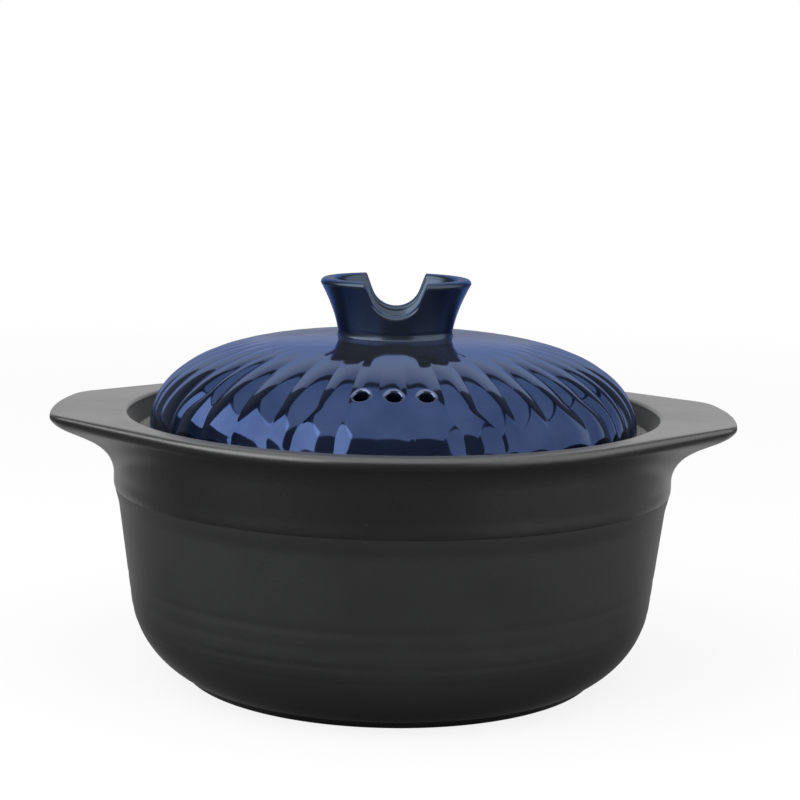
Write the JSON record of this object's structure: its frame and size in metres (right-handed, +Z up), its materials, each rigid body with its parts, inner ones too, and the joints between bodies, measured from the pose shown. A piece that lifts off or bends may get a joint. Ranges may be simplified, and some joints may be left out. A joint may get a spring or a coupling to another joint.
{
  "type": "ceramic soup pot",
  "caption": "Round ceramic soup pot with wing handles in one piece with its rim, and a domed, fluted lid with steam holes and a flared, notched knob.",
  "frame": {"origin": "middle of the pot's base, on its axis, in the plane that it stands on", "axes": "+X through one handle, +Z up, steam holes and one knob notch towards -Y"},
  "size_m": [0.2906, 0.2454, 0.169],
  "materials": {
    "dark_glaze": "dark grey, glossy above the glaze line and matte below it",
    "blue_glaze": "glossy deep blue glaze",
    "knob_glaze": "glossy deep blue glaze"
  },
  "bodies": {
    "pot": {"pot_body": "dark_glaze"},
    "lid": {"lid": "blue_glaze", "lid_knob": "knob_glaze"}
  },
  "joints": [
    {"name": "lid_lift", "type": "slide", "parent": "pot", "child": "lid", "axis": [0, 0, 1], "range_m": [0, 0.12]}
  ]
}
